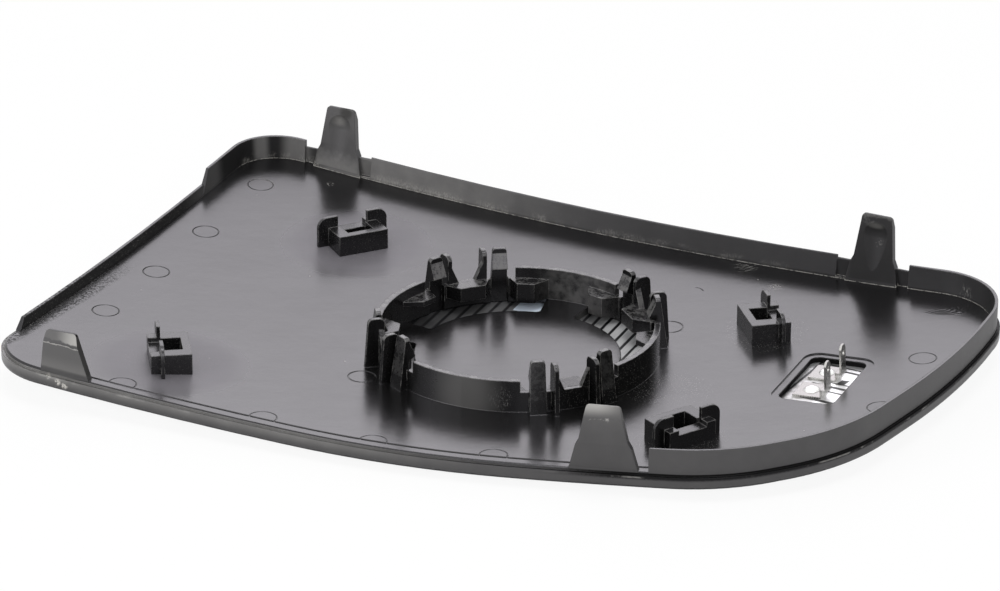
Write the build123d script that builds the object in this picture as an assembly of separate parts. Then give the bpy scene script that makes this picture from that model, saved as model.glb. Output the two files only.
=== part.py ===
from build123d import *
from math import cos, radians, sin, sqrt, tan
import os

# Heated convex door mirror glass, lying on its mirror face with its back up.
# The origin is where the axis of the adjuster ring meets the back of the plate.
# X runs along the long side, Y points to the back edge and Z points up.

# Dish and layers
mirror_radius = 1200.0
glass_thickness = 2.0
film_thickness = 0.2
plate_thickness = 1.5
glue_line = 0.1
floor_radius = mirror_radius - glass_thickness - film_thickness - plate_thickness - 2 * glue_line

# Rim corners, seen from above: front left, front bend, front right, right bend, back right, back left
left_x = -102.4
front_y = -60.5
front_bend_x = -2.4
front_corner_x = 66.1
front_corner_y = -44.6
right_corner_x = 86.6
right_corner_y = -24.1
right_x = 96.3
right_bend_y = 20.7
back_right_y = 62.8
back_left_x = -100.1
back_left_y = 72.6
front_left_round = 14.0
front_bend_round = 220.0
front_corner_round = 40.0
right_corner_round = 47.0
right_bend_round = 186.0
back_right_round = 20.0
back_left_round = 13.0

# Rim lip and wall
lip_overhang = 0.7
lip_width = 2.2
lip_cover = 0.15
lip_step = 0.9
lip_round = 1.0
wall_thickness = 1.2
wall_draft = 0.5
wall_height = 5.3
low_wall_height = 2.2
wall_front_end_x = 50.5
low_wall_front_y = -44.6
low_wall_back_y = 43.4
wall_step_run = 2.3
bevel_depth = 0.5
bevel_width = 0.6
edge_band_width = 2.7
edge_band_depth = 0.2

# Glass and heater film
glass_gap = 0.15
film_inset = 3.0

# Rim tabs
tab_base_width = 12.8
tab_top_width = 7.2
tab_thickness = 1.7
tab_tip_thickness = 0.6
tab_tip_length = 2.6
tab_round = 0.9
tab_scoop_radius = 7.0
tab_scoop_depth = 0.55
tab_scoop_margin = 0.8
tab_scoop_slope = 4.5
front_right_tab_width = 15.0
front_left_tab_width = 11.8
back_foot_height = 4.3
front_foot_height = 5.2
tab_foot_step = 0.8
tab_lean = 9.5
notch_width = 2.4
notch_wall = 0.5
notch_drop = 1.0
back_left_tab_from_corner = 23.1
back_right_tab_from_corner = 35.9
front_right_tab_from_corner = 25.4
front_left_tab_from_corner = 21.1
back_left_tab_height = 15.3
back_right_tab_height = 15.8
front_right_tab_height = 15.2
front_left_tab_height = 10.5

# Adjuster ring
ring_radius = 31.5
ring_wall = 1.3
ring_height = 7.3
group_first_angle = 45.8
group_count = 4
group_half_angle = 21.3
low_ring_height = 4.7
gusset_start_angle = 3.5
rib_angle = 8.0
rib_thickness = 1.0
rib_reach = 3.3
rib_lean = 0.9
rib_round = 1.3
rib_height = 11.4
post_angle = 14.5
post_width = 3.9
post_taper = 0.35
post_lean = 1.9
post_height = 11.9
post_outer_step = 2.0
post_foot_thickness = 2.2
post_tip_thickness = 1.1
post_round = 0.8
barb_reach = 1.5
barb_height = 7.4
barb_under = 0.8
barb_ramp = 3.4
ledge_reach = 3.9
ledge_half_width = 3.0
ledge_half_angle = 10.4
ledge_height = 5.0
ledge_drop = 0.3
ledge_underside = 1.7
pad_inner_from = 22.0
pad_inner_to = 30.5
pad_outer_from = 18.6
pad_outer_to = 36.5
pad_underside = 0.3
thin_pad_thickness = 1.0
slot_inner_radius = 22.9
slot_half_angle = 35.0
slot_round = 1.2

# Hook brackets
hook_length = 12.2
hook_depth = 9.0
hook_height = 4.6
hook_sill_height = 3.5
hook_wall = 1.8
hook_hole_depth = 4.4
hook_hole_length = 6.4
ear_gap = 7.4
ear_thickness = 0.8
ear_height = 7.2
ear_length = 5.0
ear_round = 2.4
back_left_hook_x = -53.3
back_left_hook_y = 33.7
back_left_hook_angle = 140.0
front_left_hook_x = -61.3
front_left_hook_y = -38.9
front_left_hook_angle = 212.0
back_right_hook_x = 42.8
back_right_hook_y = 28.2
back_right_hook_angle = 37.0
front_right_hook_x = 46.2
front_right_hook_y = -26.2
front_right_hook_angle = -31.0

# Terminal window
window_left_x = 61.2
window_front_y = -0.2
window_length = 12.9
window_width = 23.2
window_round = 2.0
frame_margin = 1.7
frame_depth = 0.3

# Blade terminals and rivets
terminal_x = 66.5
front_terminal_y = 7.8
rear_terminal_y = 17.4
terminal_sheet = 0.5
terminal_pad_length = 6.6
terminal_pad_width = 6.8
terminal_rise = 1.9
shoulder_length = 1.6
blade_width = 2.8
blade_height = 6.4
blade_tip_cut = 0.8
blade_hole = 1.2
blade_hole_below_tip = 1.9
blade_offset_y = -1.3
seat_gap = 0.01
rivet_head = 3.6
rivet_head_height = 0.8
rivet_shank = 1.8
shank_gap = 0.04

# Ejector marks
mark_size = 6.0
mark_depth = 0.15
mark_line = 0.35
left_mark_x = -89.9
left_mark_rows = [-24.2, 0.4, 25.4, 54.2]
front_mark_inset = 3.9
front_mark_columns = [-68.7, -34.9, -8.9, 17.1]
right_mark_x = 84.8
right_mark_front_y = 0.9
right_mark_back_y = 28.1
ring_mark_gap = 5.3

# Sizes that follow from the ones above
root = 0.4 * plate_thickness
layer_reach = 1.15 * sqrt(max(-left_x, right_x) ** 2 + max(-front_y, back_left_y) ** 2)
tall = 60.0
film_top = plate_thickness + glue_line
film_bottom = film_top + film_thickness
glass_top = film_bottom + glue_line
mirror_depth = glass_top + glass_thickness
lip_depth = mirror_depth - lip_cover
ring_inner_radius = ring_radius - ring_wall
ledge_radius = ring_inner_radius - ledge_reach
post_outer_radius = ring_radius + post_outer_step
post_foot_radius = post_outer_radius - post_foot_thickness

rim_corners = [
    (left_x, front_y, front_left_round),
    (front_bend_x, front_y, front_bend_round),
    (front_corner_x, front_corner_y, front_corner_round),
    (right_corner_x, right_corner_y, right_corner_round),
    (right_x, right_bend_y, right_bend_round),
    (right_x, back_right_y, back_right_round),
    (back_left_x, back_left_y, back_left_round),
]
rim_edges = ["front left", "front right", "front corner", "right front", "right back", "back", "left"]


def floor_height(x, y):
    """Height of the plate's back face over a point in plan."""
    return floor_radius - sqrt(floor_radius**2 - x**2 - y**2)


def corner(index):
    """One rim corner as a point in plan."""
    x, y, rounding = rim_corners[index % len(rim_corners)]
    return Vector(x, y, 0)


def rim_outline(inset):
    """The rim outline moved inwards by an even distance."""
    points = []
    radii = []
    for index in range(len(rim_corners)):
        here = corner(index)
        back = corner(index - 1) - here
        ahead = corner(index + 1) - here
        half_angle = radians(back.get_angle(ahead)) / 2
        inwards = (back.normalized() + ahead.normalized()).normalized()
        points.append(here + inwards * (inset / sin(half_angle)))
        largest = 0.48 * min(back.length, ahead.length) * tan(half_angle)
        radii.append(max(min(rim_corners[index][2], largest) - inset, 1))
    return make_face(FilletPolyline(*points, radius=radii, close=True))


def rim_prism(inset):
    """A tall block with the rim outline."""
    return Pos(0, 0, -tall / 2) * extrude(rim_outline(inset), tall)


def dished_layer(low, high):
    """The bowl-shaped layer between two heights over the plate's back face."""
    place = Pos(0, 0, floor_radius) * Rot(0, -90, 0)
    shell = place * Sphere(floor_radius - low) - place * Sphere(floor_radius - high)
    return shell & Box(2 * layer_reach, 2 * layer_reach, 2 * tall)


def block(x_from, x_to, y_from, y_to, z_from, z_to):
    """A box between stated limits."""
    size = Box(x_to - x_from, y_to - y_from, z_to - z_from)
    return Pos((x_from + x_to) / 2, (y_from + y_to) / 2, (z_from + z_to) / 2) * size


def edge_place(name, from_start, inset):
    """The place on a straight rim edge: X along the edge, Y inwards, Z up from the floor."""
    index = rim_edges.index(name)
    start = corner(index)
    along = (corner(index + 1) - start).normalized()
    inwards = Vector(-along.Y, along.X, 0)
    point = start + along * from_start + inwards * inset
    floor = Vector(point.X, point.Y, floor_height(point.X, point.Y))
    return Location(Plane(origin=floor, x_dir=along, z_dir=(0, 0, 1)))


def edge_length(name):
    """Length of a rim edge between its sharp corners."""
    index = rim_edges.index(name)
    return (corner(index + 1) - corner(index)).length


def open_corner():
    """The front left part of the plan, where the rim has no wall."""
    return block(-2 * layer_reach, wall_front_end_x, 2 * front_y, low_wall_front_y, -tall, tall)


def plate_floor():
    """The dished floor and the rim lip that frames the glass."""
    plain = rim_prism(lip_overhang) & dished_layer(-plate_thickness, 0)
    back_edges = []
    for edge in plain.edges():
        middle = edge @ 0.5
        if middle.Z > floor_height(middle.X, middle.Y) - plate_thickness / 4:
            back_edges.append(edge)
    back_face = max(plain.faces(), key=lambda face: face.center().Z * (face.area > tall**2))
    bevelled = chamfer(back_edges, bevel_width, bevel_depth, reference=back_face)
    band = rim_prism(0) - rim_prism(lip_overhang + edge_band_width)
    reach = edge_length("back")
    from_tab = edge_place("front left", front_left_tab_from_corner, 0)
    band = band & from_tab * block(0, reach, -tall, reach, -tall, tall)
    bevelled -= band & dished_layer(-edge_band_depth, wall_height)
    floor = plain - open_corner() + (bevelled & open_corner())
    lip = (rim_prism(0) - rim_prism(lip_width)) & dished_layer(-lip_depth, -lip_step)
    outer_edges = []
    lip_middle = rim_outline(lip_width / 2)
    for edge in lip.edges():
        middle = edge @ 0.5
        depth = floor_height(middle.X, middle.Y) - middle.Z
        low = depth > (lip_depth + lip_step) / 2
        long = edge.length > 2 * lip_width
        outside = not lip_middle.is_inside((middle.X, middle.Y, 0))
        if low and long and outside:
            outer_edges.append(edge)
    return floor + fillet(outer_edges, lip_round)


def wall_ring(height):
    """A wall right round the rim, with an inner face that leans back towards its top."""
    ring = rim_prism(lip_overhang) - rim_prism(lip_overhang + wall_thickness)
    ring = ring & dished_layer(-root, height)
    wall_middle = rim_outline(lip_overhang + wall_thickness / 2)
    inner_edges = []
    for edge in ring.edges():
        middle = edge @ 0.5
        high = middle.Z - floor_height(middle.X, middle.Y) > height / 2
        if high and wall_middle.is_inside((middle.X, middle.Y, 0)):
            inner_edges.append(edge)
    top_face = ring.faces().sort_by(lambda face: (len(face.edges()), face.center().Z))[-1]
    return chamfer(inner_edges, wall_draft, 0.9 * height, reference=top_face)


def rim_wall():
    """The upstanding wall: high round the back and right, low on the left, open at the front left."""
    high = wall_ring(wall_height)
    low = wall_ring(low_wall_height)
    step_floor = floor_height(left_x, low_wall_back_y)
    step_top = low_wall_back_y + wall_step_run
    slope = (wall_height - low_wall_height) / wall_step_run
    cut_top = step_top + (tall / 2 - step_floor - wall_height) / slope
    open_side = [
        (2 * front_y, -tall / 2),
        (low_wall_back_y - (step_floor + low_wall_height + tall / 2) / slope, -tall / 2),
        (cut_top, tall / 2),
        (2 * front_y, tall / 2),
    ]
    side_cut = extrude(Plane.YZ * make_face(Polyline(*open_side, close=True)), -2 * layer_reach)
    side_cut = Pos(wall_front_end_x - 1.5 * ring_radius, 0, 0) * side_cut
    end_cut = [
        (2 * front_y, -tall / 2),
        (2 * front_y, tall / 2),
        (low_wall_front_y + tall / 2, tall / 2),
        (low_wall_front_y - root, -root + floor_height(left_x, low_wall_front_y)),
    ]
    slope_cut = extrude(Plane.YZ * make_face(Polyline(*end_cut, close=True)), -2 * layer_reach)
    low = low & block(-2 * layer_reach, 0, low_wall_front_y, step_top, -tall, tall)
    return high - side_cut - open_corner() + (low - slope_cut)


def rim_tab(width, height, foot_height):
    """A tapered tab: X along the rim, Y inwards from the wall's outer face, Z up from the floor."""
    half_base = width / 2
    half_top = tab_top_width / 2
    front = [(-half_base, -root), (half_base, -root), (half_top, height), (-half_top, height)]
    if foot_height > 0:
        share = (foot_height + root) / (height + root)
        half_foot = half_base + (half_top - half_base) * share
        slope_top = foot_height + 2 * tab_foot_step
        front = [
            (-half_base, -root),
            (half_base, -root),
            (half_foot, foot_height),
            (half_foot - tab_foot_step, slope_top),
            (half_top, height),
            (-half_top, height),
            (-half_foot + tab_foot_step, slope_top),
            (-half_foot, foot_height),
        ]
    outline = make_face(Polyline(*front, close=True))
    outline = fillet(outline.vertices().filter_by(lambda corner: corner.Y > height - root), tab_round)
    lean = tan(radians(tab_lean))
    tip = height - tab_tip_length
    side = [
        (0, -root),
        (tab_thickness, -root),
        (tab_thickness, 0),
        (tab_thickness - lean * height, height),
        (tab_thickness - lean * height - tab_tip_thickness, height),
        (-lean * tip, tip),
        (0, 0),
    ]
    profile = extrude(Plane.YZ * make_face(Polyline(*side, close=True)), half_base, both=True)
    shape = extrude(Plane.XZ * outline, 2 * height, both=True)
    return (shape & profile) - tab_scoop(height)


def tab_scoop(height):
    """The thumb-shaped hollow in a tab's inner face, deepest near the tip."""
    half_chord = sqrt(2 * tab_scoop_radius * tab_scoop_depth - tab_scoop_depth**2)
    z = height - tab_scoop_margin - half_chord
    y = tab_thickness - tan(radians(tab_lean)) * z + tab_scoop_radius - tab_scoop_depth
    reach = 2 * tab_scoop_radius
    shaft = Pos(0, 0, -reach / 2) * Cylinder(tab_scoop_radius, reach)
    return Pos(0, y, z) * Rot(tab_lean + tab_scoop_slope, 0, 0) * (shaft + Sphere(tab_scoop_radius))


def tab_notch(width):
    """The part of the rim wall that is cut away to make it thin and low behind and beside a tab."""
    half = width / 2 + notch_width
    thin = block(-half, half, notch_wall, 2 * wall_thickness, 0, tall)
    return thin + block(-half, half, -lip_overhang, 2 * wall_thickness, wall_height - notch_drop, tall)


def turned(angle):
    """A turn about the ring axis."""
    return Rot(0, 0, angle)


def annulus(inner, outer, low, high):
    """A round wall about the ring axis."""
    wall = Cylinder(outer, high - low) - Cylinder(inner, high - low + 1)
    return Pos(0, 0, (low + high) / 2) * Rot(0, 0, 180) * wall


def sector(half_angle, low, high):
    """A wedge about the X direction, wide enough to cut the ring."""
    reach = 2 * ring_radius
    corners = [
        (0, 0),
        (reach * cos(radians(half_angle)), -reach * sin(radians(half_angle))),
        (reach * cos(radians(half_angle)), reach * sin(radians(half_angle))),
    ]
    return Pos(0, 0, low) * extrude(make_face(Polyline(*corners, close=True)), high - low)


def on_circle(radius, angle):
    """A point in plan at a radius and an angle."""
    return (radius * cos(radians(angle)), radius * sin(radians(angle)))


def ring_wall_stretch(base):
    """One group's share of the ring wall, low across the clip group."""
    wall = annulus(ring_inner_radius, ring_radius, -root, base + ring_height)
    wall = wall & sector(180 / group_count, -tall, tall)
    return wall - sector(group_half_angle, base + low_ring_height, tall)


def clip_gussets(base):
    """The two sloping pieces of ring wall and the two radial ribs of one clip group."""
    low = base + low_ring_height - root
    start = ring_radius * sin(radians(gusset_start_angle))
    end = ring_radius * sin(radians(rib_angle))
    high = base + rib_height - rib_round
    corners = [(start, low), (end, low), (end, high), (start, base + low_ring_height)]
    gusset = extrude(Plane.YZ * make_face(Polyline(*corners, close=True)), 2 * ring_radius)
    gusset = gusset & annulus(ring_inner_radius, ring_radius, -root, tall)
    top = base + rib_height
    side = [
        (ring_inner_radius, -root),
        (ring_radius + rib_reach, -root),
        (ring_radius + rib_reach - rib_lean, top),
        (ring_inner_radius, top),
    ]
    shape = make_face(Polyline(*side, close=True))
    shape = fillet(shape.vertices().filter_by(lambda corner: corner.Y > base), rib_round)
    rib = extrude(Plane.XZ * shape, rib_thickness / 2, both=True)
    one_side = gusset + turned(rib_angle) * rib
    return one_side + mirror(one_side, Plane.XZ)


def snap_post(base):
    """One snap post with its inward barb, standing on the X direction."""
    top = base + post_height
    barb = base + barb_height
    outer_top = post_outer_radius - post_lean
    inner_top = outer_top - post_tip_thickness
    side = [
        (post_outer_radius, -root),
        (outer_top, top),
        (inner_top, top),
        (inner_top, barb + barb_ramp),
        (inner_top - barb_reach, barb),
        (inner_top + barb_under / 4, barb - barb_under),
        (post_foot_radius, -root),
    ]
    half_foot = post_width / 2
    half_top = half_foot - post_taper
    front = [(-half_foot, -root), (half_foot, -root), (half_top, top), (-half_top, top)]
    outline = make_face(Polyline(*front, close=True))
    outline = fillet(outline.vertices().filter_by(lambda corner: corner.Y > base), post_round)
    slab = extrude(Plane.XZ * make_face(Polyline(*side, close=True)), post_width, both=True)
    return slab & extrude(Plane.YZ * outline, 2 * ring_radius)


def post_bay(base):
    """The space in front of a snap post, open through the floor."""
    half = post_width / 2
    return block(ledge_radius, post_foot_radius, -half, half, -tall, base + low_ring_height + 1)


def under_ledge(low, top):
    """The round block that trims ledges to their underside and their sloping top."""
    section = [
        (0, low),
        (ring_radius - ring_wall / 2, low),
        (ring_radius - ring_wall / 2, top - ledge_drop),
        (ledge_radius, top),
        (0, top),
    ]
    return revolve(Plane.XZ * make_face(Polyline(*section, close=True)), Axis.Z)


def ring_ledges(base):
    """The middle ledge, the deep side pad and the thin side pad inside one clip group."""
    wall_middle = ring_inner_radius + ring_wall / 2
    middle = [
        (ledge_radius, -ledge_half_width),
        (ledge_radius, ledge_half_width),
        on_circle(wall_middle, ledge_half_angle),
        on_circle(wall_middle, -ledge_half_angle),
    ]
    pad = [
        on_circle(ledge_radius, pad_inner_from),
        on_circle(ledge_radius, pad_inner_to),
        on_circle(wall_middle, pad_outer_to),
        on_circle(wall_middle, pad_outer_from),
    ]
    top = base + ledge_height
    middle_block = extrude(make_face(Polyline(*middle, close=True)), tall)
    pad_block = extrude(make_face(Polyline(*pad, close=True)), tall)
    ledges = middle_block & under_ledge(base + ledge_underside, top)
    ledges += pad_block & under_ledge(base + pad_underside, top)
    ledges += mirror(pad_block, Plane.XZ) & under_ledge(top - ledge_drop - thin_pad_thickness, top)
    return ledges


def clip_group(base):
    """One quarter of the adjuster ring with its clip group on the X direction, deep pad at +Y."""
    quarter = ring_wall_stretch(base) + clip_gussets(base) + ring_ledges(base)
    for side in (-1, 1):
        quarter -= turned(side * post_angle) * post_bay(base)
    for side in (-1, 1):
        quarter += turned(side * post_angle) * snap_post(base)
    return quarter


def floor_slot(base):
    """The arc slot through the floor inside one clip group, with a bay for each snap post."""
    inner = CenterArc((0, 0), slot_inner_radius, -slot_half_angle, 2 * slot_half_angle)
    outer = CenterArc((0, 0), ring_radius - ring_wall / 2, -slot_half_angle, 2 * slot_half_angle)
    band = make_face([inner, outer, Line(inner @ 0, outer @ 0), Line(inner @ 1, outer @ 1)])
    band = fillet(band.vertices(), slot_round)
    slot = Pos(0, 0, -tall / 2) * extrude(band, tall)
    for side in (-1, 1):
        slot += turned(side * post_angle) * post_bay(base)
    return slot


def hook_ear():
    """One upright ear of a hook bracket, from the gap outwards along Y."""
    start = hook_wall + hook_hole_depth
    near = ear_gap / 2
    far = near + ear_length
    face = [(near, -root), (far, -root), (far, ear_height), (near, ear_height)]
    outline = make_face(Polyline(*face, close=True))
    corners = outline.vertices().filter_by(lambda corner: corner.X > near and corner.Y > 0)
    outline = fillet(corners, ear_round)
    return Pos(start, 0, 0) * extrude(Plane.YZ * outline, ear_thickness)


def hook_bracket():
    """A hook bracket: X outwards from the ring axis, Z up from the floor."""
    half = hook_length / 2
    bracket = block(0, hook_depth, -half, half, -root, hook_height)
    half_hole = hook_hole_length / 2
    sill_start = hook_wall + hook_hole_depth
    bracket -= block(hook_wall, sill_start, -half_hole, half_hole, 0, tall)
    bracket -= block(sill_start, 2 * hook_depth, -ear_gap / 2, ear_gap / 2, hook_sill_height, tall)
    ear = hook_ear()
    return bracket + ear + mirror(ear, Plane.XZ)


def hook_place(x, y, angle):
    """The place of the middle of a hook bracket's inner face on the floor."""
    step_x, step_y = on_circle(hook_depth / 2, angle)
    return Pos(x, y, floor_height(x + step_x, y + step_y)) * Rot(0, 0, angle)


def ejector_mark(x, y):
    """The fine round line that an ejector pin leaves in the floor."""
    z = floor_height(x, y)
    line = Polyline((-mark_line, mark_depth), (mark_line, mark_depth), (0, -mark_depth), close=True)
    ring = revolve(Plane.XZ * Pos(mark_size / 2, 0, 0) * make_face(line), Axis.Z)
    return Plane(origin=(x, y, z), z_dir=(-x, -y, floor_radius - z)) * ring


def mark_places():
    """The places of the ejector marks in plan."""
    places = []
    for y in left_mark_rows:
        places.append((left_mark_x, y))
    for x in front_mark_columns:
        rise = max(x - front_bend_x, 0) * (front_corner_y - front_y) / (front_corner_x - front_bend_x)
        places.append((x, front_y + front_mark_inset + rise))
    places.append((right_mark_x, right_mark_front_y))
    places.append((right_mark_x, right_mark_back_y))
    for angle in (group_first_angle, group_first_angle + 180):
        places.append(on_circle(ring_radius + ring_mark_gap, angle))
    return places


def window_prism(margin, round_by):
    """A tall block with the window's outline."""
    shape = RectangleRounded(window_length + 2 * margin, window_width + 2 * margin, round_by)
    centre = Pos(window_left_x + window_length / 2, window_front_y + window_width / 2, -tall / 2)
    return centre * extrude(shape, tall)


def backing_plate():
    """The whole black moulding."""
    plate = plate_floor()
    wall = rim_wall()
    tabs = []
    from_back_left = edge_length("back") - back_left_tab_from_corner
    from_front_right = edge_length("front right") - front_right_tab_from_corner
    tab_rows = [
        ("back", from_back_left, tab_base_width, back_left_tab_height, back_foot_height),
        ("back", back_right_tab_from_corner, tab_base_width, back_right_tab_height, back_foot_height),
        ("front right", from_front_right, front_right_tab_width, front_right_tab_height, front_foot_height),
        ("front left", front_left_tab_from_corner, front_left_tab_width, front_left_tab_height, 0),
    ]
    for edge_name, distance, width, height, foot_height in tab_rows:
        place = edge_place(edge_name, distance, lip_overhang)
        tabs.append(place * rim_tab(width, height, foot_height))
        if edge_name == "back":
            wall -= place * tab_notch(width)
    plate += wall
    for tab in tabs:
        plate += tab
    base = floor_height(ring_radius, 0)
    quarter = clip_group(base)
    other_quarter = mirror(quarter, Plane.XZ)
    slot = floor_slot(base)
    quarters = []
    for index in range(group_count):
        turn = turned(group_first_angle + index * 360 / group_count)
        plate -= turn * slot
        quarters.append(turn * (other_quarter if index % 2 else quarter))
    plate += quarters[0] + quarters[1:]
    hook_rows = [
        (back_left_hook_x, back_left_hook_y, back_left_hook_angle),
        (front_left_hook_x, front_left_hook_y, front_left_hook_angle),
        (back_right_hook_x, back_right_hook_y, back_right_hook_angle),
        (front_right_hook_x, front_right_hook_y, front_right_hook_angle),
    ]
    hook = hook_bracket()
    for x, y, angle in hook_rows:
        plate += hook_place(x, y, angle) * hook
    plate -= window_prism(0, window_round)
    frame = window_prism(frame_margin, window_round + frame_margin)
    plate -= frame & dished_layer(-frame_depth, wall_height)
    for x, y in mark_places():
        plate -= ejector_mark(x, y)
    return plate


def terminal_place(y):
    """The place of a terminal pad on the film, square to the dish."""
    x = terminal_x
    depth = floor_radius + film_top
    z = floor_radius - sqrt(depth**2 - x**2 - y**2)
    normal = Vector(-x, -y, floor_radius - z).normalized()
    seat = Vector(x, y, z) + normal * seat_gap
    return Location(Plane(origin=seat, x_dir=(1, 0, x / floor_radius), z_dir=normal))


def blade_terminal():
    """One bent terminal: pad, riser, shoulder and upright blade."""
    half_pad = terminal_pad_length / 2
    pad = Pos(0, 0, terminal_sheet / 2) * Box(terminal_pad_length, terminal_pad_width, terminal_sheet)
    pad -= Cylinder(rivet_shank / 2 + shank_gap, tall)
    low = blade_offset_y - blade_width / 2
    high = blade_offset_y + blade_width / 2
    riser = block(half_pad - terminal_sheet, half_pad, low, high, 0, terminal_rise)
    shoulder_end = half_pad - terminal_sheet + shoulder_length
    shoulder_low = terminal_rise - terminal_sheet
    shoulder = block(half_pad - terminal_sheet, shoulder_end, low, high, shoulder_low, terminal_rise)
    tip = terminal_rise + blade_height
    face = [
        (low, shoulder_low),
        (high, shoulder_low),
        (high, tip - blade_tip_cut),
        (high - blade_tip_cut, tip),
        (low + blade_tip_cut, tip),
        (low, tip - blade_tip_cut),
    ]
    blade = extrude(Plane.YZ * make_face(Polyline(*face, close=True)), terminal_sheet)
    blade = Pos(shoulder_end - terminal_sheet, 0, 0) * blade
    hole = Pos(shoulder_end, blade_offset_y, tip - blade_hole_below_tip) * Rot(0, 90, 0)
    return pad + riser + shoulder + (blade - hole * Cylinder(blade_hole / 2, tall / 4))


def terminal_rivet():
    """One rivet: a domed head on the pad and a shank through the pad and the film."""
    head_radius = (rivet_head**2 / 4 + rivet_head_height**2) / (2 * rivet_head_height)
    dome = Pos(0, 0, terminal_sheet + rivet_head_height - head_radius) * Rot(0, 90, 0) * Sphere(head_radius)
    head = dome & block(-rivet_head, rivet_head, -rivet_head, rivet_head, terminal_sheet, tall)
    foot = seat_gap + 0.9 * film_thickness
    top = terminal_sheet + rivet_head_height / 2
    shank = Pos(0, 0, (top - foot) / 2) * Cylinder(rivet_shank / 2, top + foot)
    return head + shank


os.makedirs("parts", exist_ok=True)
places = [terminal_place(front_terminal_y), terminal_place(rear_terminal_y)]

glass = rim_prism(lip_width + glass_gap) & dished_layer(-mirror_depth, -glass_top)
film = rim_prism(lip_width + film_inset) & dished_layer(-film_bottom, -film_top)
for place in places:
    film -= place * Cylinder(rivet_shank / 2 + shank_gap, 4 * terminal_sheet)
rivets = Compound(children=[place * terminal_rivet() for place in places])

export_step(backing_plate(), "parts/backing_plate.step")
export_step(film, "parts/heater_pad.step")
export_step(glass, "parts/mirror_glass.step")
export_step(places[0] * blade_terminal(), "parts/blade_terminal_front.step")
export_step(places[1] * blade_terminal(), "parts/blade_terminal_rear.step")
export_step(rivets, "parts/terminal_rivets.step")
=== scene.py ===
import math

import bpy
from mathutils import Matrix, Vector


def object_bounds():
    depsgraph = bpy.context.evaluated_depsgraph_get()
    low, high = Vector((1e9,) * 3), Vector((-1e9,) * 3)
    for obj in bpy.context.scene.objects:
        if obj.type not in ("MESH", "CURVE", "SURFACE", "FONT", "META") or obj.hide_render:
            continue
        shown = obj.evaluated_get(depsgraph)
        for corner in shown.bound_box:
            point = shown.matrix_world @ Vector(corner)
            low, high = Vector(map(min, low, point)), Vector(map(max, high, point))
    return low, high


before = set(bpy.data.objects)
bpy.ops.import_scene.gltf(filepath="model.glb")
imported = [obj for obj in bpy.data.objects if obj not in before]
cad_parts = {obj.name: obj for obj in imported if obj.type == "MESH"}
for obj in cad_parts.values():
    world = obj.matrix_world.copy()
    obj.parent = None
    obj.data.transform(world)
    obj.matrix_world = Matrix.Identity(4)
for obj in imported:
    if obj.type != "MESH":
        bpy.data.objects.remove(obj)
cad_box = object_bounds()

bl_info = {
    "name": "Door mirror glass looks",
    "version": (1, 0, 0),
    "blender": (4, 5, 0),
    "location": "3D View > Sidebar > Mirror glass",
    "description": "Dresses the back of a heated door mirror glass and sets a plain studio round it",
    "category": "Object",
}

MM = 0.001
WHITE = (1, 1, 1, 1)
ROUND = (1, 1, 1)
PLAN = (1, 1, 0)

# Each softbox: its name, place in metres, width and height in metres, power in watts and tint.
SOFTBOXES = (
    ("back_softbox", (-0.55, 1.35, 0.75), (1.6, 0.7), 5.3, (0.97, 0.93, 1.0)),
    ("top_softbox", (0.1, 0.0, 1.4), (0.6, 0.6), 7.0, WHITE[:3]),
    ("left_softbox", (-1.0, -1.1, 0.6), (0.9, 0.9), 9.0, WHITE[:3]),
    ("front_softbox", (0.9, -1.2, 0.9), (0.8, 0.8), 6.0, WHITE[:3]),
)


class Wire:
    """A shader value that works in Python expressions."""

    def __init__(self, nodes, socket):
        self.nodes = nodes
        self.socket = socket

    def __add__(self, other):
        return self.nodes.maths("ADD", self, other)

    def __radd__(self, other):
        return self.nodes.maths("ADD", other, self)

    def __sub__(self, other):
        return self.nodes.maths("SUBTRACT", self, other)

    def __rsub__(self, other):
        return self.nodes.maths("SUBTRACT", other, self)

    def __mul__(self, other):
        return self.nodes.maths("MULTIPLY", self, other)

    def __rmul__(self, other):
        return self.nodes.maths("MULTIPLY", other, self)


class Nodes:
    """A node tree under construction."""

    def __init__(self, tree):
        self.tree = tree
        self.tree.nodes.clear()

    def feed(self, socket, value):
        """Links a wire to a socket, or sets the socket's own value."""
        if isinstance(value, Wire):
            self.tree.links.new(value.socket, socket)
        else:
            socket.default_value = value

    def add(self, kind, settings=None, sockets=None, output=0):
        """One node: its settings first, then its sockets. Gives the wire of an output, if it has any."""
        made = self.tree.nodes.new(kind)
        for name, value in (settings or {}).items():
            setattr(made, name, value)
        for key, value in (sockets or {}).items():
            self.feed(made.inputs[key], value)
        return Wire(self, made.outputs[output]) if made.outputs else None

    def also(self, wire, output):
        """Another output of the node that a wire comes from."""
        return Wire(self, wire.socket.node.outputs[output])

    def maths(self, operation, *values):
        return self.add("ShaderNodeMath", {"operation": operation}, dict(enumerate(values)))

    def largest(self, *shares):
        """The largest of several shares."""
        total = shares[0]
        for share_of_part in shares[1:]:
            total = self.maths("MAXIMUM", total, share_of_part)
        return total

    def mix_shader(self, share_of_other, one, other):
        """A surface between two surfaces."""
        return self.add("ShaderNodeMixShader", None, {0: share_of_other, 1: one, 2: other})


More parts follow.
